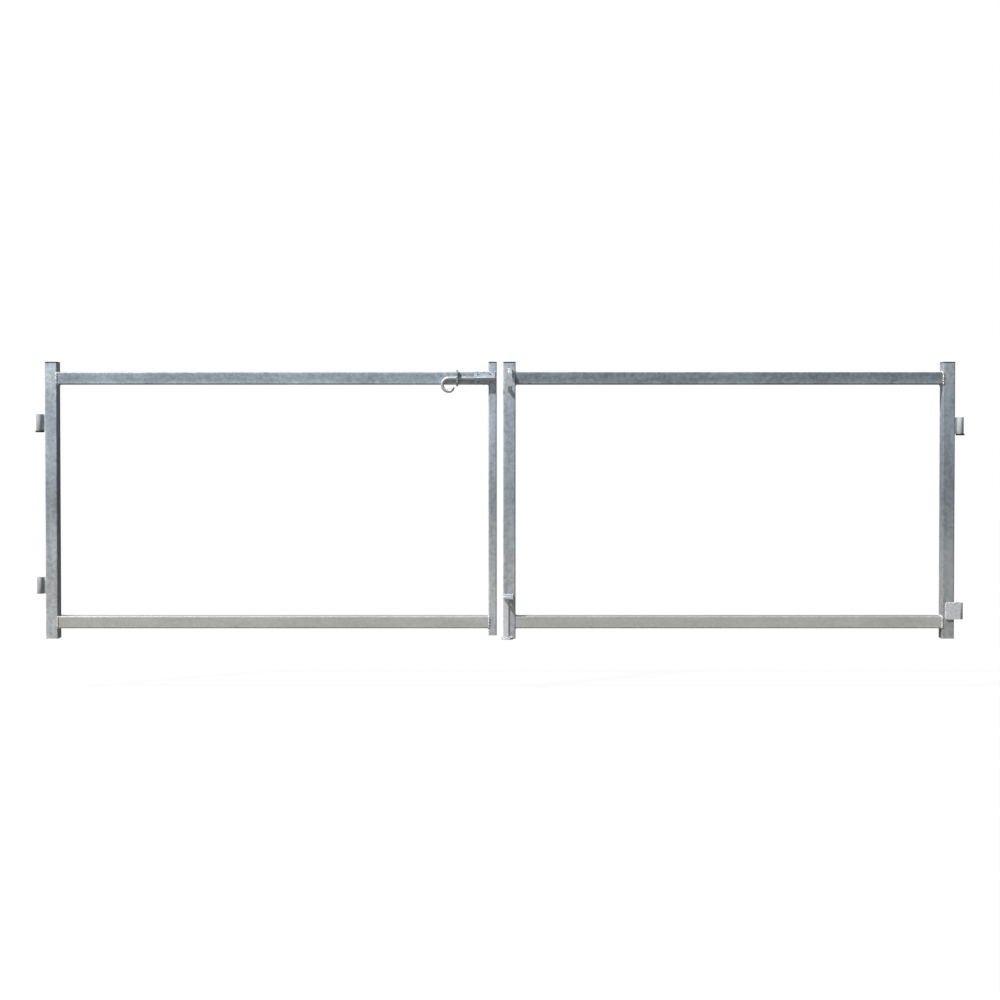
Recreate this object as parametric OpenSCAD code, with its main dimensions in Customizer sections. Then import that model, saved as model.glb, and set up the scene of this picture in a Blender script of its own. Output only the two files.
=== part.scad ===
// Two-leaf galvanised yard gate.
// Each leaf is a welded frame of hollow sections with two hinge eyes. The left leaf carries a
// sliding bolt in an angle-iron housing, the right leaf the keeper and a drop-pin socket.
// +X runs along the gate, -Y faces the front, +Z is up. The origin is on the left leaf's hinge
// axis, at mid height of its lower eye.

/* [Leaf] */
// Width of one leaf over its stiles
leaf_w = 2200; // [1400:10:3000]
// Height of a stile with its end cap
leaf_h = 1350; // [900:10:1800]
// Side of the square hollow section
section = 60; // [50:1:80]
// Width of the left leaf's meeting stile
slim_w = 40; // [30:1:60]
// Wall of the hollow sections
wall = 3; // [2:0.5:4]
// Outside corner radius of the hollow sections
corner_r = 6; // [4.5:0.5:8]
// Stile above the top rail, with its end cap
head = 50; // [20:1:120]
// Stile below the bottom rail
foot = 50; // [20:1:120]
// How much shorter the left meeting stile is at the bottom
slim_short = 16; // [0:1:20]
// Gap between the two leaves
leaf_gap = 32; // [20:1:60]

/* [End caps] */
// Thickness of a cap's flange
cap_t = 6; // [3:0.5:10]
// Depth of a cap's plug inside the stile
plug_depth = 18; // [10:1:30]
// Wall of the plug
plug_wall = 2; // [1.5:0.5:3]
// Gap between the plug and the tube
plug_gap = 0.2; // [0.1:0.05:0.5]

/* [Hinge eyes] */
// Outside diameter of an eye
eye_d = 34; // [32:1:50]
// Length of an eye
eye_len = 80; // [50:1:120]
// Diameter of the hinge pin that the eyes drop on to
pin_d = 20; // [16:0.5:25]
// Radial clearance on the hinge pin
pin_gap = 0.25; // [0.1:0.05:0.5]
// Gap between an eye and the stile's side
eye_gap = 10; // [9:1:20]
// Thickness of the strap that is rolled into the eye
strap_t = 6; // [4:0.5:10]
// Thickness of the web that joins an eye to its stile
web_t = 8; // [6:0.5:12]
// Radius on the strap's and the web's free corners
strap_corner = 9; // [3:1:9]
// Lap of the right lower eye's strap over the stile's front
right_lap = 42; // [5:1:45]
// Left upper eye, its middle below the top of the stile
left_upper_drop = 295; // [150:5:400]
// Left lower eye, its middle above the foot of the stile
left_lower_rise = 260; // [150:5:400]
// Right upper eye, its middle below the top of the stile
right_upper_drop = 310; // [150:5:400]
// Right lower eye, its middle above the foot of the stile
right_lower_rise = 135; // [120:5:400]

/* [Hinge bushes] */
// Wall of the bush pressed into an upper eye
bush_wall = 2; // [1.5:0.25:3]
// How far the bush's flange stands out past the eye
flange_lip = 4; // [2:0.5:8]
// Thickness of the bush's flange
flange_t = 8; // [3:0.5:10]

/* [Bolt] */
// Diameter of the bolt
bolt_d = 16; // [12:0.5:20]
// Gap between the bolt and the face of the rail
bolt_gap = 2; // [1:0.25:4]
// How far the bolt slides
bolt_throw = 76; // [50:1:90]
// Straight length of the bolt from its stop plate to its curled handle
handle_len = 36; // [20:1:80]
// Radius of the handle's bend, to the middle of the bar
curl_r = 32; // [26:1:45]
// Radius of the curl at the handle's end, to the middle of the bar
tip_r = 20; // [16:1:25]
// Turn of the curl at the handle's end
tip_turn = 75; // [40:5:90]
// Bevel on the bolt's nose
nose_bevel = 2; // [1:0.5:4]
// Thickness of the stop plate on the bolt
plate_t = 9; // [5:0.5:12]
// How far the stop plate stands above and below the rail
plate_over = 10; // [5:1:15]
// Stop plate beyond the front of the bolt
plate_front = 12; // [6:1:20]
// Gap between the stop plate and the face of the rail
plate_gap = 0.7; // [0.3:0.1:2]
// Gap left between the stop plate and the housing when the bolt is shot
stop_gap = 0.5; // [0.3:0.1:2]
// Nose of the drawn bolt in from the edge of its stile
nose_inset = 0.5; // [0:0.5:5]

/* [Bolt housing] */
// Length of the angle-iron housing
housing_len = 103; // [90:1:140]
// Thickness of its legs
housing_t = 5; // [3:0.5:6]
// Clearance between the bolt and the legs
housing_gap = 1; // [0.5:0.25:3]
// How far the housing stops short of the meeting stile's edge
housing_inset = 8; // [0:1:15]
// Diameter of the two lock-pin holes
lock_d = 10; // [6:0.5:11]
// Diameter of the lock-pin holes through the bolt
bolt_hole_d = 8; // [5:0.5:8]
// Lock-pin holes in from each end of the housing
lock_inset = 22; // [15:1:28]

/* [Keeper] */
// Width of the keeper's strap
keeper_w = 21; // [15:1:30]
// Thickness of the keeper's strap
keeper_t = 6; // [4:0.5:8]
// Clearance between the bolt and the inside of the keeper
keeper_gap = 2; // [1:0.25:5]
// Straight front of the keeper
keeper_straight = 54; // [40:1:70]
// Keeper's middle below the middle of the top rail
keeper_drop = 8; // [0:1:12]
// Gap between the keeper and the path of a pin dropped into the socket
keeper_pin_gap = 0.5; // [0.5:0.5:5]

/* [Drop-pin socket] */
// Diameter of the hole through the socket's two plates
socket_bore = 18; // [16:0.5:20]
// Height of the socket from the foot of the stile
socket_h = 214; // [120:1:300]
// Width of the flat strip between the plates
strip_w = 25; // [20:1:50]
// Thickness of the strip
back_strip_t = 5; // [3:0.5:8]
// Gap between the strip and the pin's hole
pin_strip_gap = 2; // [0.5:0.5:4]
// Hole's middle in from the stile's edge
hole_inset = 12.5; // [12:0.5:20]
// Thickness of the top plate
top_plate_t = 18; // [14:1:20]
// Width of the top plate
top_plate_w = 48; // [40:1:60]
// Depth of the top plate in front of the stile
top_plate_out = 32; // [32:1:50]
// Radius on the top plate's upper front edge
top_plate_round = 12; // [2:1:12]
// Thickness of the foot plate
foot_plate_t = 9; // [6:1:12]
// Width of the foot plate
foot_plate_w = 57; // [50:1:70]
// Depth of the foot plate in front of the stile
foot_plate_out = 44; // [40:1:48]
// How far the foot plate stands out past the stile's edge
foot_plate_past = 9; // [4:1:12]

/* [Hidden] */
$fn = 48;

// Radial gap round a piece that is fixed in a hole
fixed_gap = 0.05;
// Overlap that lets a cut break cleanly through a face
cut = 1;

eye_r = eye_d / 2;
pin_r = pin_d / 2 + pin_gap;
bush_r = pin_r + bush_wall;
hinge_reach = eye_r + eye_gap;

// The right lower eye's strap lies on the stile's front and runs straight on to the front of the eye
front_y = strap_t - eye_r;
leaf_y = front_y + section / 2;
leaf_x0 = hinge_reach;
leaf_x1 = leaf_x0 + leaf_w;
mid_x = leaf_x1 + leaf_gap / 2;
right_edge_x = leaf_x1 + leaf_gap;

foot_z = -left_lower_rise;
head_z = foot_z + leaf_h;
top_rail_z = head_z - head - section / 2;
bottom_rail_z = foot_z + foot + section / 2;
left_upper_z = head_z - left_upper_drop;
right_upper_z = head_z - right_upper_drop;
right_lower_z = foot_z + right_lower_rise;

bolt_r = bolt_d / 2;
bolt_y = front_y - bolt_gap - bolt_r;
bolt_out = bolt_gap + bolt_r;
slant = sqrt(2);
housing_out = bolt_out + (bolt_r + housing_gap + housing_t) * slant;
housing_x1 = leaf_x1 - housing_inset;
housing_x0 = housing_x1 - housing_len;
plate_x1 = housing_x0 - stop_gap - bolt_throw;
plate_x0 = plate_x1 - plate_t;
curl_x = plate_x0 - handle_len;
nose_x = leaf_x1 - nose_inset;
plate_h = section + 2 * plate_over;
plate_out = bolt_out + bolt_r + plate_front;
plate_corner = plate_out - plate_gap - bolt_r;

socket_x = right_edge_x + hole_inset;
socket_y = front_y - back_strip_t - pin_strip_gap - socket_bore / 2;
socket_top_z = foot_z + socket_h;

keeper_in = bolt_gap + bolt_d + keeper_gap;
keeper_x = socket_x + socket_bore / 2 + keeper_pin_gap;
keeper_z = top_rail_z - keeper_drop;

zinc = [0.62, 0.66, 0.69];
zinc_light = [0.76, 0.78, 0.79];
zinc_dark = [0.5, 0.54, 0.57];
plastic = [0.16, 0.17, 0.18];

// Rectangle with round corners, centred
module rounded_rect(w, h, r) {
    square([w - 2 * r, h], center = true);
    square([w, h - 2 * r], center = true);
    for (sx = [-1, 1], sy = [-1, 1])
        translate([sx * (w / 2 - r), sy * (h / 2 - r)])
            circle(r = r);
}

// Ring of a hollow section that is w wide and as deep as every section
module tube_ring(w) {
    difference() {
        rounded_rect(w, section, corner_r);
        rounded_rect(w - 2 * wall, section - 2 * wall, corner_r - wall);
    }
}

// Upright tube with its left side at x0, from z0 to the underside of its end cap
module stile(x0, w, z0) {
    translate([x0 + w / 2, leaf_y, z0])
        linear_extrude(head_z - cap_t - z0)
            tube_ring(w);
}

// Level tube between two stiles, centred on height z
module rail(x0, x1, z) {
    translate([x0, leaf_y, z])
        rotate([90, 0, 90])
            linear_extrude(x1 - x0)
                tube_ring(section);
}

// Flanged cap with a hollow plug, on the stile with its left side at x0
module end_cap(x0, w) {
    plug_w = w - 2 * (wall + plug_gap);
    plug_d = section - 2 * (wall + plug_gap);
    plug_r = corner_r - wall;
    hollow_r = max(plug_r - plug_wall, plug_r / 2);
    translate([x0 + w / 2, leaf_y, head_z - cap_t]) {
        linear_extrude(cap_t)
            rounded_rect(w, section, corner_r);
        translate([0, 0, -plug_depth])
            linear_extrude(plug_depth)
                difference() {
                    rounded_rect(plug_w, plug_d, plug_r);
                    rounded_rect(plug_w - 2 * plug_wall, plug_d - 2 * plug_wall, hollow_r);
                }
    }
}

// Eye on the axis x = 0 with a short web to a stile on its +X side, bored to radius bore
module web_eye(z, bore) {
    difference() {
        union() {
            translate([0, 0, z - eye_len / 2])
                cylinder(r = eye_r, h = eye_len);
            translate([0, web_t / 2, z])
                rotate([90, 0, 0])
                    linear_extrude(web_t)
                        web_outline();
        }
        eye_bore(z, bore);
    }
}

// Web from the eye's axis to the stile, with its upper corner rounded at the weld
module web_outline() {
    half = eye_len / 2;
    translate([0, -half])
        square([hinge_reach - strap_corner, eye_len]);
    translate([0, -half])
        square([hinge_reach, eye_len - strap_corner]);
    translate([hinge_reach - strap_corner, half - strap_corner])
        circle(r = strap_corner);
}

// Eye on the axis x = 0 rolled from a strap that laps over a stile on its +X side
module strap_eye(z, lap, bore) {
    end = hinge_reach + lap;
    half = eye_len / 2;
    difference() {
        union() {
            translate([0, 0, z - half])
                cylinder(r = eye_r, h = eye_len);
            translate([0, front_y, z])
                rotate([90, 0, 0])
                    linear_extrude(strap_t) {
                        translate([0, -half])
                            square([end - strap_corner, eye_len]);
                        translate([0, strap_corner - half])
                            square([end, eye_len - 2 * strap_corner]);
                        for (s = [-1, 1])
                            translate([end - strap_corner, s * (half - strap_corner)])
                                circle(r = strap_corner);
                    }
        }
        eye_bore(z, bore);
    }
}

module eye_bore(z, bore) {
    translate([0, 0, z - eye_len / 2 - cut])
        cylinder(r = bore, h = eye_len + 2 * cut);
}

// Bush in an upper eye on the axis x = 0, with its flange under the eye
module hinge_bush(z) {
    low = z - eye_len / 2;
    difference() {
        union() {
            translate([0, 0, low])
                cylinder(r = bush_r, h = eye_len);
            translate([0, 0, low - flange_t])
                cylinder(r = eye_r + flange_lip, h = flange_t);
        }
        translate([0, 0, low - flange_t - cut])
            cylinder(r = pin_r, h = eye_len + flange_t + 2 * cut);
    }
}

// Puts a piece of the left leaf in its place on the right leaf
module on_right() {
    translate([2 * mid_x, 0, 0])
        mirror([1, 0, 0])
            children();
}

module left_hinge_stile() {
    color(zinc) stile(leaf_x0, section, foot_z);
}

module left_meeting_stile() {
    color(zinc) stile(leaf_x1 - slim_w, slim_w, foot_z + slim_short);
}

module left_top_rail() {
    color(zinc) rail(leaf_x0 + section, leaf_x1 - slim_w, top_rail_z);
}

module left_bottom_rail() {
    color(zinc_light) rail(leaf_x0 + section, leaf_x1 - slim_w, bottom_rail_z);
}

module left_hinge_stile_cap() {
    color(plastic) end_cap(leaf_x0, section);
}

module left_meeting_stile_cap() {
    color(plastic) end_cap(leaf_x1 - slim_w, slim_w);
}

module left_upper_hinge_eye() {
    color(zinc_dark) web_eye(left_upper_z, bush_r + fixed_gap);
}

module left_lower_hinge_eye() {
    color(zinc_dark) web_eye(0, pin_r);
}

module left_hinge_bush() {
    color(plastic) hinge_bush(left_upper_z);
}

// Angle iron, ridge to the front, with its toes cut to sit on the rail and the stile
module bolt_housing() {
    inner = housing_out - housing_t * slant;
    color(zinc_light)
        difference() {
            translate([housing_x0, front_y, top_rail_z])
                rotate([90, 0, 90])
                    linear_extrude(housing_len)
                        difference() {
                            polygon([[0, -housing_out], [-housing_out, 0], [0, housing_out]]);
                            polygon([[cut, -inner - cut], [-inner, 0], [cut, inner + cut]]);
                        }
            for (x = [housing_x0 + lock_inset, housing_x1 - lock_inset])
                translate([x, bolt_y, top_rail_z - housing_out])
                    cylinder(d = lock_d, h = 2 * housing_out);
        }
}

// Round bar with a bevelled nose and a curled handle, cross drilled for the lock pin
module bolt_bar() {
    lock_x = housing_x0 + lock_inset;
    color(zinc_light)
        translate([0, bolt_y, top_rail_z])
            difference() {
                union() {
                    translate([curl_x, 0, 0])
                        rotate([0, 90, 0])
                            cylinder(d = bolt_d, h = nose_x - nose_bevel - curl_x);
                    translate([nose_x - nose_bevel, 0, 0])
                        rotate([0, 90, 0])
                            cylinder(r1 = bolt_r, r2 = bolt_r - nose_bevel, h = nose_bevel);
                    bar_bend(-curl_r, curl_r, 90, 180);
                    bar_bend(tip_r - 2 * curl_r, tip_r, -90, tip_turn);
                    bar_end();
                }
                for (x = [lock_x, lock_x - bolt_throw])
                    translate([x, 0, -bolt_d])
                        cylinder(d = bolt_hole_d, h = 2 * bolt_d);
            }
}

// Bend of the bar in the upright plane around height z, from one angle through a turn
module bar_bend(z, r, start, turn) {
    translate([curl_x, 0, z])
        rotate([90, 0, 0])
            rotate([0, 0, start])
                rotate_extrude(angle = turn)
                    translate([r, 0])
                        circle(d = bolt_d);
}

// Rounded end of the handle
module bar_end() {
    a = tip_turn - 90;
    translate([curl_x + tip_r * cos(a), 0, tip_r - 2 * curl_r + tip_r * sin(a)])
        sphere(d = bolt_d);
}

// D-shaped plate welded round the bolt, its straight edge against the rail
module bolt_stop_plate() {
    color(zinc_dark)
        difference() {
            translate([plate_x0, front_y - plate_gap, top_rail_z])
                rotate([90, 0, 90])
                    linear_extrude(plate_t)
                        stop_plate_outline(plate_out - plate_gap, plate_h / 2);
            translate([plate_x0 - cut, bolt_y, top_rail_z])
                rotate([0, 90, 0])
                    cylinder(r = bolt_r + fixed_gap, h = plate_t + 2 * cut);
        }
}

// Outline that stands depth out from its straight edge and reaches half up and down
module stop_plate_outline(depth, half) {
    difference() {
        union() {
            translate([-depth, plate_corner - half])
                square([depth, plate_h - 2 * plate_corner]);
            translate([plate_corner - depth, -half])
                square([depth - plate_corner, plate_h]);
            for (s = [-1, 1])
                translate([plate_corner - depth, s * (half - plate_corner)])
                    circle(r = plate_corner);
        }
        translate([0, -half - cut])
            square([depth, plate_h + 2 * cut]);
    }
}

module right_hinge_stile() {
    color(zinc) on_right() stile(leaf_x0, section, foot_z);
}

module right_meeting_stile() {
    color(zinc) on_right() stile(leaf_x1 - section, section, foot_z);
}

module right_top_rail() {
    color(zinc) on_right() rail(leaf_x0 + section, leaf_x1 - section, top_rail_z);
}

module right_bottom_rail() {
    color(zinc_light) on_right() rail(leaf_x0 + section, leaf_x1 - section, bottom_rail_z);
}

module right_hinge_stile_cap() {
    color(plastic) on_right() end_cap(leaf_x0, section);
}

module right_meeting_stile_cap() {
    color(plastic) on_right() end_cap(leaf_x1 - section, section);
}

module right_upper_hinge_eye() {
    color(zinc_dark) on_right() web_eye(right_upper_z, bush_r + fixed_gap);
}

module right_lower_hinge_eye() {
    color(zinc_dark) on_right() strap_eye(right_lower_z, right_lap, pin_r);
}

module right_hinge_bush() {
    color(plastic) on_right() hinge_bush(right_upper_z);
}

// Flat strap bent to a D, welded to the stile by both ends; the shot bolt passes behind it
module keeper() {
    out = keeper_in + keeper_t;
    half = keeper_straight / 2 + out + cut;
    color(zinc_light)
        translate([keeper_x, front_y, keeper_z])
            rotate([90, 0, 90])
                linear_extrude(keeper_w)
                    difference() {
                        keeper_outline(out);
                        keeper_outline(keeper_in);
                        translate([0, -half])
                            square([out + cut, 2 * half]);
                    }
}

// Flat-backed outline that stands r out of the stile, with quarter bends of the same radius
module keeper_outline(r) {
    translate([-r, -keeper_straight / 2])
        square([2 * r, keeper_straight]);
    for (s = [-1, 1])
        translate([0, s * keeper_straight / 2])
            circle(r = r);
}

// Flat strip on the stile's face that ties the socket's two plates together
module socket_strip() {
    color(zinc_light)
        translate([right_edge_x, front_y - back_strip_t, foot_z + foot_plate_t])
            cube([strip_w, back_strip_t, socket_h - foot_plate_t - top_plate_t]);
}

// Plate on the stile's face with a hole for a drop pin, its upper front edge rounded over
module socket_top_plate() {
    r = top_plate_round;
    color(zinc_light)
        difference() {
            translate([right_edge_x, front_y, socket_top_z])
                rotate([90, 0, 90])
                    linear_extrude(top_plate_w)
                        translate([-top_plate_out, -top_plate_t])
                            intersection() {
                                square([top_plate_out, top_plate_t]);
                                union() {
                                    square([top_plate_out, top_plate_t - r]);
                                    translate([r, 0])
                                        square([top_plate_out - r, top_plate_t]);
                                    translate([r, top_plate_t - r])
                                        circle(r = r);
                                }
                            }
            translate([socket_x, socket_y, socket_top_z - top_plate_t - cut])
                cylinder(d = socket_bore, h = top_plate_t + 2 * cut);
        }
}

// Round-cornered plate at the stile's foot, in line with the top plate's hole
module socket_foot_plate() {
    round_r = foot_plate_out / 2;
    color(zinc_light)
        translate([right_edge_x - foot_plate_past, front_y, foot_z])
            difference() {
                linear_extrude(foot_plate_t) {
                    translate([round_r, -foot_plate_out])
                        square([foot_plate_w - 2 * round_r, foot_plate_out]);
                    translate([0, -round_r])
                        square([foot_plate_w, round_r]);
                    for (x = [round_r, foot_plate_w - round_r])
                        translate([x, -round_r])
                            circle(r = round_r);
                }
                translate([foot_plate_past + hole_inset, socket_y - front_y, -cut])
                    cylinder(d = socket_bore, h = foot_plate_t + 2 * cut);
            }
}

left_hinge_stile();
left_meeting_stile();
left_top_rail();
left_bottom_rail();
left_hinge_stile_cap();
left_meeting_stile_cap();
left_upper_hinge_eye();
left_lower_hinge_eye();
left_hinge_bush();
bolt_housing();
bolt_bar();
bolt_stop_plate();
right_hinge_stile();
right_meeting_stile();
right_top_rail();
right_bottom_rail();
right_hinge_stile_cap();
right_meeting_stile_cap();
right_upper_hinge_eye();
right_lower_hinge_eye();
right_hinge_bush();
keeper();
socket_strip();
socket_top_plate();
socket_foot_plate();
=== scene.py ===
import math
import random

import bpy
from bpy.props import FloatProperty, FloatVectorProperty, PointerProperty
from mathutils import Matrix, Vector


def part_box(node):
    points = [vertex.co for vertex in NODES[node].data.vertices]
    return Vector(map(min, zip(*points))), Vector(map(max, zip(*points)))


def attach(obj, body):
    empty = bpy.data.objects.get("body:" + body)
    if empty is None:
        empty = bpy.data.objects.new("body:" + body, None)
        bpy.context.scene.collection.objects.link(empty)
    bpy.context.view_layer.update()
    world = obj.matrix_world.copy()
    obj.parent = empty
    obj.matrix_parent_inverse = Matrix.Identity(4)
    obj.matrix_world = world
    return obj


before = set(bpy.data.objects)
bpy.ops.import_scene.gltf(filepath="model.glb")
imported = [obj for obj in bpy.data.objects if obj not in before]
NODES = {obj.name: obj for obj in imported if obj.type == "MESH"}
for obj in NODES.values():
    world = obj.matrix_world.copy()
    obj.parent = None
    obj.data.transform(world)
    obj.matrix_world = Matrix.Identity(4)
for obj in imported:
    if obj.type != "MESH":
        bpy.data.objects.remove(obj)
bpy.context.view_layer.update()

bl_info = {
    "name": "Yard gate finish and welds",
    "version": (1, 0, 0),
    "blender": (4, 5, 0),
    "location": "3D View > Sidebar > Yard gate",
    "description": "Galvanised finishes, weld beads and a plain stage for the two-leaf yard gate",
    "category": "Object",
}

MM = 0.001
LEFT, BOLT, RIGHT = "left_leaf", "slide_bolt", "right_leaf"
STILES = ["left_hinge_stile", "left_meeting_stile", "right_meeting_stile", "right_hinge_stile"]
TOP_RAILS = ["left_top_rail", "right_top_rail"]
BOTTOM_RAILS = ["left_bottom_rail", "right_bottom_rail"]
CAPS = [stile + "_cap" for stile in STILES]
BUSHES = ["left_hinge_bush", "right_hinge_bush"]

FOOT_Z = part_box("left_hinge_stile")[0].z
HEAD_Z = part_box("left_hinge_stile_cap")[1].z
FRONT_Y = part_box("left_top_rail")[0].y
MID_X = (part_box("left_hinge_stile")[0].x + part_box("right_hinge_stile")[1].x) / 2


# ---------------------------------------------------------------- settings

def colour(name, description, default):
    """A colour setting with its default."""
    return FloatVectorProperty(name=name, description=description, default=default,
                               subtype="COLOR", size=3, min=0, max=1)


def share(name, description, default):
    """A setting that is a share from 0 to 1."""
    return FloatProperty(name=name, description=description, default=default,
                         subtype="FACTOR", min=0, max=1)


def length(name, description, default):
    """A setting that is a length in metres."""
    return FloatProperty(name=name, description=description, default=default,
                         subtype="DISTANCE", unit="LENGTH", min=0)


class ZincSettings(bpy.types.PropertyGroup):
    """Colours and grain of the hot-dip zinc"""
    # Painted light: the stile and rail colours by height stand in for the sky's bluish reflection
    # higher up and for light bounced from the ground near the feet.
    head: colour("Stile head", "Zinc at the head of a stile", (0.52, 0.585, 0.64))
    high: colour("Stile, high", "Zinc on a stile at the height of the top rails", (0.40, 0.46, 0.53))
    middle: colour("Stile, middle", "Zinc on a stile at mid height", (0.33, 0.37, 0.41))
    foot: colour("Stile foot", "Zinc at the foot of a stile", (0.44, 0.455, 0.465))
    top_rail: colour("Top rail", "Zinc on the top rails and the bolt's housing", (0.30, 0.36, 0.41))
    bottom_rail: colour("Bottom rail", "Zinc on the bottom rails", (0.45, 0.45, 0.445))
    fitting: colour("Fitting", "Zinc on the hinge eyes, keeper and plates", (0.41, 0.44, 0.46))
    socket: colour("Socket", "Zinc on the drop-pin socket and the right lower eye", (0.58, 0.585, 0.60))
    weld: colour("Weld", "Zinc on the weld beads", (0.55, 0.57, 0.58))
    bar: colour("Bolt", "Zinc on the bolt, rubbed bright", (0.52, 0.53, 0.53))
    stain: colour("Stain", "Brown stain in patches on the fittings", (0.16, 0.10, 0.055))
    spangle: length("Spangle", "Width of one crystal of the zinc", 0.011)
    spangle_share: share("Spangle strength", "How much the crystals differ", 0.50)
    cloud_share: share("Cloud strength", "How much the coat varies along a tube", 0.80)
    # Painted shade: faces that look up are drawn darker, to tone down the key light on them.
    painted_top_shade: share("Dulled tops", "How much weather has darkened the faces that look up", 0.45)
    rough: share("Roughness", "Mean roughness of the coat", 0.50)


class PlasticSettings(bpy.types.PropertyGroup):
    """Colours of the moulded pieces"""
    cap: colour("End cap", "Plastic of the end caps", (0.035, 0.038, 0.042))
    bush: colour("Bush", "Plastic of the hinge bushes", (0.012, 0.012, 0.013))


class WeldSettings(bpy.types.PropertyGroup):
    """Sizes of the weld beads"""
    width: length("Bead width", "Width of a frame weld's bead", 0.0095)
    pitch: length("Ripple pitch", "Distance from one ripple to the next", 0.0042)
    skin: length("Skin", "Grain of the bead's mesh", 0.0011)
    jitter: share("Unevenness", "How uneven the ripples are", 0.16)


class StageSettings(bpy.types.PropertyGroup):
    """Camera, lights and floor"""
    lens: FloatProperty(name="Lens", description="Focal length on a 36 mm frame, in mm",
                        default=54.6, min=1)
    shift: FloatProperty(name="Shift", description="Upward shift of the picture, as a share",
                         default=-0.0316)
    distance: length("Distance", "Camera in front of the hinge axes", 7.3965)
    height: length("Camera height", "Camera above the origin", 0.70)
    tilt: FloatProperty(name="Tilt", description="Camera's tilt below level",
                        default=math.radians(1.0), subtype="ANGLE", unit="ROTATION")
    key: FloatProperty(name="Key light", description="Strength of the key light",
                       default=7.0, min=0)
    spread: FloatProperty(name="Spread", description="Width of the key light as seen from the gate",
                          default=math.radians(2), subtype="ANGLE", unit="ROTATION")
    fill: FloatProperty(name="Fill light", description="Strength of the soft light in front",
                        default=0.45, min=0)
    back: FloatProperty(name="Back light", description="Strength of the soft light behind",
                        default=0.9, min=0)
    sun: colour("Key colour", "Colour of the key light", (1.0, 0.985, 0.96))
    soft: colour("Soft colour", "Colour of the two soft lights", (0.95, 0.98, 1.0))
    clearance: length("Clearance", "Foot of the gate above the floor", 0.25)
    span: length("Floor width", "Width of the floor each way", 60)
    glow: share("Floor glow", "How bright the floor is by itself", 0.965)
    sky: colour("Sky", "Light from above", (0.20, 0.25, 0.31))
    around: colour("Around", "Light from all sides", (0.112, 0.104, 0.094))
    ground: colour("Ground", "Light from straight below", (0.85, 0.74, 0.62))


SETTINGS = {"gate_zinc": ZincSettings, "gate_plastic": PlasticSettings,
            "gate_weld": WeldSettings, "gate_stage": StageSettings}


# ---------------------------------------------------------------- shader maths

class Wire:
    """One output of a shader node, which takes part in sums as a number would."""

    def __init__(self, network, socket):
        self.network = network
        self.socket = socket

    def maths(self, operation, a, b):
        return self.network.node("Math", {"operation": operation}, {0: a, 1: b})

    def __add__(self, other):
        return self.maths("ADD", self, other)

    def __radd__(self, other):
        return self.maths("ADD", other, self)

    def __sub__(self, other):
        return self.maths("SUBTRACT", self, other)

    def __rsub__(self, other):
        return self.maths("SUBTRACT", other, self)

    def __mul__(self, other):
        return self.maths("MULTIPLY", self, other)

    def __rmul__(self, other):
        return self.maths("MULTIPLY", other, self)

    def __truediv__(self, other):
        return self.maths("DIVIDE", self, other)

    def __rtruediv__(self, other):
        return self.maths("DIVIDE", other, self)

    def held(self):
        """Kept from 0 to 1."""
        return self.maths("MINIMUM", self.maths("MAXIMUM", self, 0.0), 1.0)

    def swing(self, amount):
        """Half of amount either way, for a value from 0 to 1."""
        return (self - 0.5) * amount


class Network:
    """A tree of shader nodes under way."""

    def __init__(self, tree):
        self.tree = tree
        tree.nodes.clear()

    def node(self, kind, settings=None, inputs=None, out=0):
        """Adds a node, sets it, feeds its sockets and gives back one output if it has any."""
        made = self.tree.nodes.new("ShaderNode" + kind)
        for name, value in (settings or {}).items():
            if name == "stops":
                ramp = made.color_ramp.elements
                while len(ramp) < len(value):
                    ramp.new(0.5)
                for element, (at, tone) in zip(ramp, value):
                    element.position = at
                    element.color = (*tone, 1)
            else:
                setattr(made, name, value)
        for key, value in (inputs or {}).items():
            if isinstance(value, Wire):
                self.tree.links.new(value.socket, made.inputs[key])
            else:
                made.inputs[key].default_value = value
        return Wire(self, made.outputs[out]) if made.outputs else None


class Finish(Network):
    """A procedural material under way."""

    def __init__(self, name):
        self.material = bpy.data.materials.new(name)
        self.material.use_nodes = True
        super().__init__(self.material.node_tree)
        self.place = self.node("TexCoord", out="Object")

    def stretched(self, scale=(1, 1, 1), shift=(0, 0, 0)):
        """The place on the piece, scaled along each axis and shifted."""
        return self.node("Mapping", {"vector_type": "POINT"},
                         {"Vector": self.place, "Scale": scale, "Location": shift})

    def noise(self, vector, scale, detail=2.0, rough=0.5):
        """A cloudy value from 0 to 1."""
        return self.node("TexNoise", {"noise_dimensions": "3D"},
                         {"Vector": vector, "Scale": scale, "Detail": detail,
                          "Roughness": rough}, out="Fac")

    def axis(self, name):
        """One axis of the place on the piece."""
        return self.node("SeparateXYZ", None, {0: self.place}, out=name)

    def mix(self, factor, a, b):
        """A blend of two colours."""
        def full(tone):
            return tone if isinstance(tone, Wire) else (*tone, 1)
        return self.node("Mix", {"data_type": "RGBA"}, {0: factor, 6: full(a), 7: full(b)}, out=2)

    def scaled(self, tone, amount):
        """A colour made lighter or darker by a number that varies over the piece."""
        return self.node("VectorMath", {"operation": "SCALE"}, {0: tone, "Scale": amount})

    def shader(self, fixed=None, **varying):
        """Ends the material in one Principled shader."""
        inputs = {name.replace("_", " "): value for name, value in varying.items()}
        inputs.update(fixed or {})
        self.node("OutputMaterial", None, {"Surface": self.node("BsdfPrincipled", None, inputs)})
        return self.material


def shade_of(tone, amount):
    """A colour made lighter or darker throughout."""
    return tuple(min(part * amount, 1.0) for part in tone)


def drawn_out(run, scale):
    """The scales that draw a pattern out along axis run, or along none where run is empty."""
    return [scale if axis == run else 1.0 for axis in "XYZ"]


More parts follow.
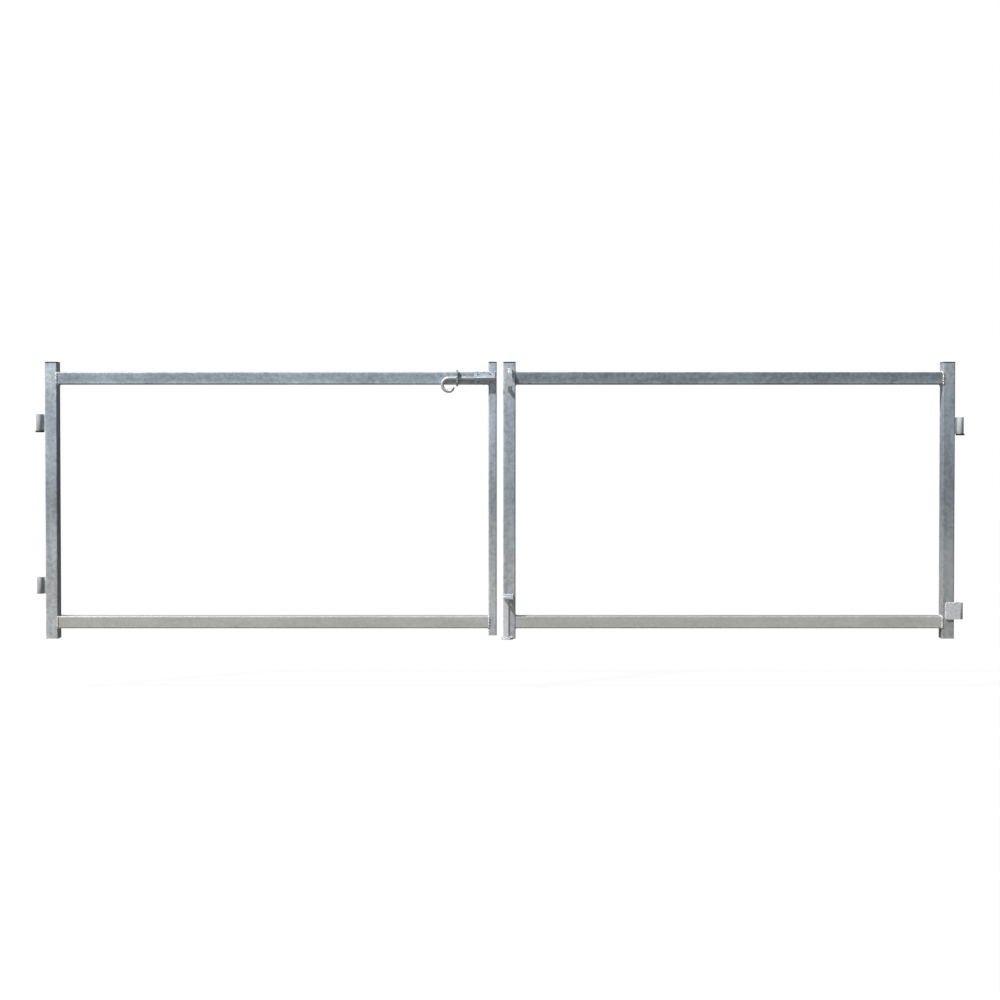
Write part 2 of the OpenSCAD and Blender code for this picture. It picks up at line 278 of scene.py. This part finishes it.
def zinc(name, tones, run, cloud=1.0, stain=0.0, rough=None):
    """Hot-dip zinc: crystals, clouds and fine lines along axis run.

    tones gives colours at shares of the gate's height, from the feet up. cloud is how uneven
    the coat is, stain how brown its patches are and rough its roughness, if not the usual."""
    s = bpy.context.scene.gate_zinc
    f = Finish(name)
    wobble = f.node("TexNoise", {"noise_dimensions": "3D"},
                    {"Vector": f.place, "Scale": 60.0, "Detail": 1.0}, out="Color")
    bent = f.node("VectorMath", {"operation": "MULTIPLY_ADD"},
                  {0: wobble, 1: (8 * MM, 8 * MM, 8 * MM), 2: f.place})
    cells = f.node("TexVoronoi", {"voronoi_dimensions": "3D", "feature": "F1"},
                   {"Vector": bent, "Scale": 1.0 / s.spangle}, out="Color")
    crystal = f.node("SeparateColor", None, {0: cells}, out=0)
    fleck = f.noise(f.place, scale=320.0)
    clouds = f.noise(f.stretched(drawn_out(run, 0.16), shift=(1.7, 0.4, 3.1)),
                     scale=26.0, detail=3.0, rough=0.6)
    drift = f.noise(f.stretched(shift=(0.3, 2.0, 5.2)), scale=3.1)
    blots = f.noise(f.stretched(shift=(4.3, 0.9, 2.2)), scale=45.0, rough=0.55)
    lines = f.noise(f.stretched(drawn_out(run, 0.05)), scale=210.0)

    uneven = (crystal.swing(0.8 * s.spangle_share) + clouds.swing(1.6 * s.cloud_share)
              + blots.swing(1.5 * s.cloud_share) + drift.swing(1.0))
    tone = (0.5 + uneven * cloud + lines.swing(0.25) + fleck.swing(0.2 + 0.2 * cloud)).held()
    if len(tones) > 1:
        height = (f.axis("Z") - FOOT_Z) / (HEAD_Z - FOOT_Z)
        body = f.node("ValToRGB", {"stops": tones}, {"Fac": height.held()})
    else:
        only_tone = tones[0][1]
        body = f.mix(drift, shade_of(only_tone, 0.96), shade_of(only_tone, 1.04))
    faces_up = f.node("SeparateXYZ", None, {0: f.node("NewGeometry", out="Normal")}, out="Z").held()
    # Painted shade: faces that look up are drawn darker, to tone down the key light that falls on them.
    painted_top_shade = faces_up * faces_up * s.painted_top_shade
    shade = f.scaled(body, (0.68 + tone * 0.64) * (1.0 - painted_top_shade))
    if stain:
        patches = f.noise(f.stretched(shift=(7.1, 1.3, 0.6)), scale=60.0, detail=3.0, rough=0.6)
        shade = f.mix(((patches - 0.52) * 7.0).held() * stain, shade, s.stain)

    grain = crystal * 0.35 + fleck * 0.3 + lines * 0.35
    normal = f.node("Bump", None, {"Strength": 0.35, "Distance": 0.6 * MM, "Height": grain})
    base_rough = s.rough if rough is None else rough
    return f.shader({"Specular IOR Level": 0.5}, Base_Color=shade, Normal=normal,
                    Metallic=0.22 + tone * 0.22,
                    Roughness=(base_rough + clouds.swing(0.3) + crystal.swing(0.12)).held())


def moulded(name, tone, rough):
    """Moulded plastic with a faint grain and patches of dust."""
    f = Finish(name)
    grain = f.noise(f.place, scale=900.0)
    dust = f.noise(f.place, scale=70.0, detail=4.0, rough=0.6)
    dusty = dust.swing(4.0).held() * 0.25
    normal = f.node("Bump", None, {"Strength": 0.25, "Distance": 0.2 * MM, "Height": grain})
    return f.shader({"Specular IOR Level": 0.45},
                    Base_Color=f.mix(dusty, tone, [part * 2.2 + 0.02 for part in tone]),
                    Roughness=rough + dusty * 0.6 + grain.swing(0.1), Normal=normal)


def bolt_zinc(name):
    """Zinc on the bolt: duller on the handle, rubbed bright where it runs in the housing."""
    s = bpy.context.scene.gate_zinc
    f = Finish(name)
    handle_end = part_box("bolt_bar")[0].x + 100 * MM
    worn = ((f.axis("X") - handle_end) / (50 * MM)).held()
    scratches = f.noise(f.stretched(drawn_out("X", 0.04)), scale=900.0, detail=3.0)
    clouds = f.noise(f.place, scale=55.0, detail=3.0, rough=0.6)
    tone = (0.5 + clouds.swing(0.7) + scratches.swing(0.4)).held()
    body = f.mix(0.5 + clouds.swing(0.8), s.bar, shade_of(s.bar, 0.9))
    normal = f.node("Bump", None, {"Strength": 0.3, "Distance": 0.3 * MM,
                                   "Height": scratches * 0.6 + clouds * 0.4})
    return f.shader({"Specular IOR Level": 0.5}, Base_Color=f.scaled(body, 0.82 + tone * 0.36),
                    Normal=normal, Metallic=0.35 + worn * 0.3,
                    Roughness=0.46 - worn * 0.12 + clouds.swing(0.2))


def coat(names, material):
    """Gives CAD nodes their finish."""
    for name in names:
        slots = NODES[name].data.materials
        slots.clear()
        slots.append(material)


def finished(name):
    """A finish that an earlier step made."""
    found = bpy.data.materials.get(name)
    if found is None:
        raise RuntimeError(f"the finish {name} has not been made yet")
    return found


def stile_tones(amount):
    """The colours of a stile from foot to head, with painted light: the sky's bluish reflection higher
    up and light bounced from the ground near the feet.
    """
    s = bpy.context.scene.gate_zinc
    return [(0.20, shade_of(s.foot, amount)), (0.50, shade_of(s.middle, amount)),
            (0.82, shade_of(s.high, amount)), (0.96, shade_of(s.head, amount))]


def rail_tones(rail, amount):
    """The colours across a top rail, lighter along its lower edge."""
    s = bpy.context.scene.gate_zinc
    low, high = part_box(rail)
    height = HEAD_Z - FOOT_Z
    return [((low.z + at * (high.z - low.z) - FOOT_Z) / height, shade_of(s.top_rail, amount * lift))
            for at, lift in ((0.02, 1.3), (0.2, 1.1), (0.38, 0.96), (0.8, 1.0), (1.0, 1.06))]


class FinishTubes(bpy.types.Operator):
    """Coat the stiles and rails with zinc"""
    bl_idname = "gate.finish_tubes"
    bl_label = "Zinc on the tubes"

    def execute(self, context):
        s = context.scene.gate_zinc
        # Painted shade: the right leaf's stiles and rails are drawn darker than the left's, standing in
        # for the key light falling off across the gate.
        for stile, amount in zip(STILES, (1.0, 0.92, 0.88, 0.65)):
            coat([stile], zinc("zinc_" + stile, stile_tones(amount), "Z"))
        for rail, amount, cloud in zip(TOP_RAILS, (1.0, 0.64), (1.0, 1.35)):
            coat([rail], zinc("zinc_" + rail, rail_tones(rail, amount), "X", cloud))
        for rail, amount in zip(BOTTOM_RAILS, (0.98, 0.95)):
            coat([rail], zinc("zinc_" + rail, [(0, shade_of(s.bottom_rail, amount))], "X", cloud=0.35))
        return {"FINISHED"}


class FinishFittings(bpy.types.Operator):
    """Coat the hinge eyes, the housing, the keeper and the socket with zinc"""
    bl_idname = "gate.finish_fittings"
    bl_label = "Zinc on the fittings"

    def execute(self, context):
        s = context.scene.gate_zinc
        plain = tuple(s.fitting)
        for name, tone, run, stain in (
                ("left_upper_hinge_eye", plain, "Z", 0.1),
                ("left_lower_hinge_eye", plain, "Z", 0.2),
                ("right_upper_hinge_eye", shade_of(plain, 1.05), "Z", 0.1),
                ("right_lower_hinge_eye", shade_of(s.socket, 0.97), "Z", 0.25),
                ("bolt_housing", shade_of(s.top_rail, 1.1), "X", 0.1),
                ("bolt_stop_plate", shade_of(plain, 0.65), "", 0.4),
                ("keeper", shade_of(plain, 1.22), "Z", 0.25),
                ("socket_strip", tuple(s.socket), "Z", 0.1),
                ("socket_top_plate", shade_of(plain, 1.05), "", 0.15),
                ("socket_foot_plate", tuple(s.socket), "", 0.1)):
            coat([name], zinc("zinc_" + name, [(0, tone)], run, cloud=0.5, stain=stain))
            soften(NODES[name], 0.9 * MM)
        zinc("zinc_welds", [(0, tuple(s.weld))], "", cloud=0.8, stain=0.15, rough=0.4)
        return {"FINISHED"}


class FinishBolt(bpy.types.Operator):
    """Coat the bolt with rubbed zinc"""
    bl_idname = "gate.finish_bolt"
    bl_label = "Zinc on the bolt"

    def execute(self, context):
        coat(["bolt_bar"], bolt_zinc("zinc_bolt"))
        return {"FINISHED"}


class FinishPlastics(bpy.types.Operator):
    """Give the end caps and the hinge bushes their moulded plastic"""
    bl_idname = "gate.finish_plastics"
    bl_label = "Plastic caps and bushes"

    def execute(self, context):
        s = context.scene.gate_plastic
        coat(CAPS, moulded("plastic_caps", tuple(s.cap), rough=0.5))
        coat(BUSHES, moulded("plastic_bushes", tuple(s.bush), rough=0.36))
        for name in CAPS:
            soften(NODES[name], 2.2 * MM)
        for name in BUSHES:
            soften(NODES[name], 1.2 * MM)
        return {"FINISHED"}


def soften(obj, width):
    """Rounds a CAD node's edges with live modifiers, which leave its mesh as it is."""
    weld = obj.modifiers.new("Join corners", "WELD")
    weld.merge_threshold = 0.02 * MM
    bevel = obj.modifiers.new("Round edges", "BEVEL")
    bevel.width = width
    bevel.segments = 3
    bevel.limit_method = "ANGLE"
    bevel.angle_limit = math.radians(40)
    bevel.use_clamp_overlap = True
    bevel.harden_normals = True


# ---------------------------------------------------------------- weld beads

FLATTENED = 0.62          # a ripple's length along the run, as a share of its width
CORNER = 6 * MM           # radius that a bead takes round a rail's long edges
CORNER_STEPS = 3          # stretches of a bead's line round one such edge
IN_CORNER = 1 * MM        # from a bead's line to the faces that it lies along
WEB_FACES = 5 * MM        # from the middle of an eye's web to the lines of its two beads
BAR = 8 * MM              # radius of the bolt's bar

WEB_BEAD = 7 * MM
STRAP_BEAD = 7.5 * MM
HOUSING_BEAD = 6.5 * MM
HOUSING_STITCHES = 3
KEEPER_BEAD = 8 * MM
STOP_BEAD = 4.6 * MM
TOP_PLATE_BEAD = 9 * MM
FOOT_PLATE_BEAD = 7 * MM
STRIP_BEAD = 3.6 * MM


def ripple():
    """One ripple of a bead: a ball flattened along the run."""
    bpy.ops.object.select_all(action="DESELECT")
    bpy.ops.mesh.primitive_uv_sphere_add(segments=10, ring_count=6, radius=1.0)
    made = bpy.context.object
    bpy.ops.object.mode_set(mode="EDIT")
    bpy.ops.mesh.select_all(action="SELECT")
    bpy.ops.transform.resize(value=(1.0, 1.0, FLATTENED))
    bpy.ops.object.mode_set(mode="OBJECT")
    return made


def steps(points, pitch):
    """Evenly spaced places along a line of points, each with the run's direction there."""
    spots = []
    at = 0.0
    for start, end in zip(points, points[1:]):
        run = Vector(end) - Vector(start)
        while at <= run.length:
            spots.append((Vector(start) + run.normalized() * at, run.normalized()))
            at += pitch
        at -= run.length
    return spots


def bead(name, runs, body, seed):
    """Welds along runs, each a line of points with a bead width: ripples under one skin."""
    s = bpy.context.scene.gate_weld
    draw = random.Random(seed)
    pattern = ripple()
    pieces = []
    for points, width in runs:
        for spot, direction in steps(points, s.pitch * width / s.width):
            piece = pattern.copy()
            piece.data = pattern.data.copy()
            bpy.context.collection.objects.link(piece)
            size = width / 2 * (1 + draw.uniform(-s.jitter, s.jitter))
            piece.scale = (size, size, size * draw.uniform(0.85, 1.15))
            piece.rotation_euler = direction.to_track_quat("Z", "Y").to_euler()
            piece.location = spot + Vector([draw.uniform(-1, 1) * width * 0.05 for _ in "xyz"])
            pieces.append(piece)
    bpy.data.objects.remove(pattern)
    if not pieces:
        raise RuntimeError(f"{name} has no run to weld along")
    bpy.ops.object.select_all(action="DESELECT")
    for piece in pieces:
        piece.select_set(True)
    bpy.context.view_layer.objects.active = pieces[0]
    bpy.ops.object.join()
    made = bpy.context.object
    made.name = made.data.name = name
    bpy.ops.object.transform_apply(location=True, rotation=True, scale=True)
    skin = made.modifiers.new("Skin", "REMESH")
    skin.mode = "VOXEL"
    skin.voxel_size = s.skin
    bpy.ops.object.modifier_apply(modifier=skin.name)
    smooth = made.modifiers.new("Smooth", "SMOOTH")
    smooth.factor = 0.5
    smooth.iterations = 1
    bpy.ops.object.modifier_apply(modifier=smooth.name)
    bpy.ops.object.shade_smooth()
    made.data.materials.clear()
    made.data.materials.append(finished("zinc_welds"))
    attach(made, body)


def round_rail(rail, side, into, width, front):
    """The run round a rail's end at the stile's side x = side; into is the way into the stile.

    It stands proud in front and is flush behind. Without front, it leaves out the front."""
    low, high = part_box(rail)
    proud = 1.4 * MM
    flush = 0.64 * width
    corners = [(low.y + CORNER, low.z + CORNER), (high.y - CORNER, low.z + CORNER),
               (high.y - CORNER, high.z - CORNER), (low.y + CORNER, high.z - CORNER)]
    line = []
    for quarter, (y, z) in enumerate(corners):
        for step in range(CORNER_STEPS + 1):
            a = math.pi + (quarter + step / CORNER_STEPS) * math.pi / 2
            ny, nz = math.cos(a), math.sin(a)
            line.append((side + into * (2.6 * abs(ny) - 0.8 * abs(nz)) * MM,
                         y + CORNER * ny - ny * (proud if ny < 0 else flush),
                         z + CORNER * nz - nz * 0.6 * MM))
    line.append(line[0])
    if front:
        return line
    return line[CORNER_STEPS:3 * (CORNER_STEPS + 1) + 1]


def frame_runs(leaf, flat, heavy=()):
    """All the runs that join one leaf's four tubes.

    Joints in flat are ground flat in front, and those in heavy have a wider bead."""
    s = bpy.context.scene.gate_weld
    runs = []
    for rail in (leaf + "_top_rail", leaf + "_bottom_rail"):
        for stile in (leaf + "_hinge_stile", leaf + "_meeting_stile"):
            low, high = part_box(stile)
            at_left = low.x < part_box(rail)[0].x
            side, into = (high.x, -1) if at_left else (low.x, 1)
            width = s.width * (1.3 if (rail, stile) in heavy else 1.0)
            runs.append((round_rail(rail, side, into, width, (rail, stile) not in flat), width))
    return runs


class FrameWelds(bpy.types.Operator):
    """Weld the rails to the stiles, all round each joint"""
    bl_idname = "gate.frame_welds"
    bl_label = "Frame welds"

    def execute(self, context):
        bead("welds_left_frame",
             frame_runs("left", flat=[("left_top_rail", "left_meeting_stile")]), LEFT, 11)
        bead("welds_right_frame",
             frame_runs("right", flat=[(rail, "right_meeting_stile")
                                       for rail in ("right_top_rail", "right_bottom_rail")],
                        heavy=[("right_top_rail", "right_hinge_stile")]), RIGHT, 12)
        return {"FINISHED"}


def web_runs(eye, side):
    """Upright runs on both faces of the web that joins an eye to the stile's side."""
    low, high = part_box(eye)
    x = side + (-IN_CORNER if side < MID_X else IN_CORNER)
    return [([(x, y, low.z + 2 * MM), (x, y, high.z - 5 * MM)], WEB_BEAD)
            for y in (-WEB_FACES, WEB_FACES)]


def strap_run(eye, side):
    """The run round the rounded end of a strap that laps over the stile's front."""
    low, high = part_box(eye)
    into = 1 if side < MID_X else -1
    end = high.x if into > 0 else low.x
    start = side + into * IN_CORNER
    y = FRONT_Y - 1.2 * MM
    r = 9 * MM
    line = [(start, y, high.z)]
    for quarter, z in enumerate((high.z - r, low.z + r)):
        for step in range(5):
            a = math.pi / 2 - (quarter + step / 4) * math.pi / 2
            line.append((end - into * r + into * r * math.cos(a), y, z + r * math.sin(a)))
    line.append((start, y, low.z))
    return line, STRAP_BEAD


class HingeWelds(bpy.types.Operator):
    """Weld the hinge eyes to their stiles"""
    bl_idname = "gate.hinge_welds"
    bl_label = "Hinge welds"

    def execute(self, context):
        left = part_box("left_hinge_stile")[0].x
        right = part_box("right_hinge_stile")[1].x
        bead("welds_left_hinges", web_runs("left_upper_hinge_eye", left)
             + web_runs("left_lower_hinge_eye", left), LEFT, 21)
        bead("welds_right_hinges", web_runs("right_upper_hinge_eye", right)
             + [strap_run("right_lower_hinge_eye", right)], RIGHT, 22)
        return {"FINISHED"}


def level_run(x0, x1, y, z, width):
    """A straight level run."""
    return [(x0, y, z), (x1, y, z)], width


class LatchWelds(bpy.types.Operator):
    """Weld the housing, the keeper and the bolt's stop plate"""
    bl_idname = "gate.latch_welds"
    bl_label = "Latch welds"

    def execute(self, context):
        self.housing()
        self.keeper()
        self.stop_plate()
        return {"FINISHED"}

    def housing(self):
        """Short stitches with even gaps, along the housing's top and bottom edges."""
        low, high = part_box("bolt_housing")
        margin = 3 * MM
        stretch = (high.x - low.x - 2 * margin) / (2 * HOUSING_STITCHES - 1)
        runs = []
        for z in (low.z, high.z):
            for stitch in range(HOUSING_STITCHES):
                x = low.x + margin + 2 * stitch * stretch
                runs.append(level_run(x, x + stretch, FRONT_Y + IN_CORNER, z, HOUSING_BEAD))
        bead("welds_housing", runs, LEFT, 31)

    def keeper(self):
        """A run above the keeper and one below it."""
        low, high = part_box("keeper")
        bead("welds_keeper",
             [level_run(low.x + 1 * MM, high.x - 1 * MM, FRONT_Y - IN_CORNER, z, KEEPER_BEAD)
              for z in (low.z - 0.5 * MM, high.z + 0.5 * MM)], RIGHT, 32)

    def stop_plate(self):
        """A ring round the front of the bar, on the handle's side of the stop plate."""
        low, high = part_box("bolt_stop_plate")
        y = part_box("bolt_bar")[0].y + BAR
        z = (low.z + high.z) / 2
        r = BAR + 0.6 * MM
        ring = [(low.x, y - r * math.cos(a), z + r * math.sin(a))
                for a in [math.radians(degrees) for degrees in range(-110, 111, 10)]]
        bead("weld_stop_plate", [(ring, STOP_BEAD)], BOLT, 33)


class SocketWelds(bpy.types.Operator):
    """Weld the drop-pin socket to its stile"""
    bl_idname = "gate.socket_welds"
    bl_label = "Socket welds"

    def execute(self, context):
        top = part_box("socket_top_plate")
        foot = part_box("socket_foot_plate")
        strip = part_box("socket_strip")
        y = FRONT_Y - IN_CORNER
        above_top = top[1].z + IN_CORNER
        above_foot = foot[1].z + IN_CORNER
        bead("welds_socket", [
            level_run(top[0].x + 1 * MM, top[1].x - 1 * MM, y, above_top, TOP_PLATE_BEAD),
            level_run(strip[1].x + 3 * MM, foot[1].x - 3 * MM, y, above_foot, FOOT_PLATE_BEAD),
            level_run(strip[0].x + 2 * MM, strip[1].x, strip[0].y + 0.4 * MM,
                      foot[1].z + 0.4 * MM, STRIP_BEAD),
        ], RIGHT, 41)
        return {"FINISHED"}


# ---------------------------------------------------------------- stage

SENSOR = 36.0                         # mm, the width that the lens setting is given for
FAR_CLIP = 200.0                      # m, past the floor's far edge
SOFT_WIDTH = math.radians(60)         # apparent width of the soft lights
KEY_TRAVEL = (1.7, 1.0, -2.6)
FILL_TRAVEL = (0.05, 1.0, -0.1)
BACK_TRAVEL = (0.5, -1.0, -0.7)


def far_light(name, travel, width, strength, tone):
    """A light from far away, given by the way its light travels and its apparent width."""
    light = bpy.data.lights.new(name, "SUN")
    light.angle = width
    light.energy = strength
    light.color = tone
    made = bpy.data.objects.new(name, light)
    bpy.context.collection.objects.link(made)
    made.rotation_euler = Vector(travel).to_track_quat("-Z", "Y").to_euler()


class Stage(bpy.types.Operator):
    """Set up the camera, the lights, the surroundings and the floor"""
    bl_idname = "gate.stage"
    bl_label = "Stage"

    def execute(self, context):
        s = context.scene.gate_stage
        context.scene.view_settings.view_transform = "Standard"
        self.camera(context.scene, s)
        far_light("key_light", KEY_TRAVEL, s.spread, s.key, s.sun)
        far_light("fill_light", FILL_TRAVEL, SOFT_WIDTH, s.fill, s.soft)
        far_light("back_light", BACK_TRAVEL, SOFT_WIDTH, s.back, s.soft)
        self.surroundings(context.scene, s)
        self.floor(s)
        return {"FINISHED"}

    def camera(self, scene, s):
        """A camera in front of the middle of the gate, tilted a little down."""
        camera = bpy.data.cameras.new("camera")
        camera.sensor_width = SENSOR
        camera.lens = s.lens
        camera.shift_y = s.shift
        camera.clip_end = FAR_CLIP
        holder = bpy.data.objects.new("camera", camera)
        scene.collection.objects.link(holder)
        holder.location = (MID_X, -s.distance, s.height)
        holder.rotation_euler = (math.pi / 2 - s.tilt, 0, 0)
        scene.camera = holder

    def surroundings(self, scene, s):
        """Cool light from above, warm light from below and a white backdrop."""
        world = bpy.data.worlds.new("surroundings")
        world.use_nodes = True
        scene.world = world
        w = Network(world.node_tree)
        up = w.node("SeparateXYZ", None, {0: w.node("TexCoord", out="Generated")}, out="Z")
        tones = w.node("ValToRGB", {"stops": [(0.0, s.ground), (0.22, s.around),
                                              (0.55, s.around), (0.8, s.sky)]},
                       {"Fac": up * 0.5 + 0.5})
        light = w.node("Background", None, {"Color": tones})
        backdrop = w.node("Background", None, {"Color": (1, 1, 1, 1)})
        seen = w.node("LightPath", out="Is Camera Ray")
        w.node("OutputWorld", None,
               {"Surface": w.node("MixShader", None, {0: seen, 1: light, 2: backdrop})})

    def floor(self, s):
        """A wide pale floor, a little below the gate's feet."""
        bpy.ops.object.select_all(action="DESELECT")
        bpy.ops.mesh.primitive_plane_add(size=s.span, location=(MID_X, 0, FOOT_Z - s.clearance))
        made = bpy.context.object
        made.name = "floor"
        f = Finish("pale_floor")
        grain = f.noise(f.place, scale=2.0)
        made.data.materials.append(f.shader(
            {"Emission Color": (1, 1, 1, 1), "Emission Strength": s.glow, "Specular IOR Level": 0.0},
            Base_Color=f.mix(grain, (0.018,) * 3, (0.022,) * 3), Roughness=0.8 + grain * 0.1))
        made.visible_diffuse = False
        made.visible_glossy = False


PIECES = [FinishTubes, FinishFittings, FinishBolt, FinishPlastics, FrameWelds, HingeWelds,
          LatchWelds, SocketWelds, Stage]


class GatePanel(bpy.types.Panel):
    """The gate's finishes, welds and stage"""
    bl_idname = "VIEW3D_PT_yard_gate"
    bl_label = "Yard gate"
    bl_space_type = "VIEW_3D"
    bl_region_type = "UI"
    bl_category = "Yard gate"

    def draw(self, context):
        for name, group in SETTINGS.items():
            box = self.layout.box()
            box.label(text=group.__doc__)
            for prop in group.__annotations__:
                box.prop(getattr(context.scene, name), prop)
        for piece in PIECES:
            self.layout.operator(piece.bl_idname)


def register():
    for group in list(SETTINGS.values()) + PIECES + [GatePanel]:
        bpy.utils.register_class(group)
    for name, group in SETTINGS.items():
        setattr(bpy.types.Scene, name, PointerProperty(type=group))


def unregister():
    for name in SETTINGS:
        delattr(bpy.types.Scene, name)
    for group in [GatePanel] + PIECES[::-1] + list(SETTINGS.values()):
        bpy.utils.unregister_class(group)


def main():
    register()
    for piece in PIECES:
        area, step = piece.bl_idname.split(".")
        getattr(getattr(bpy.ops, area), step)()


if __name__ == "__main__":
    main()
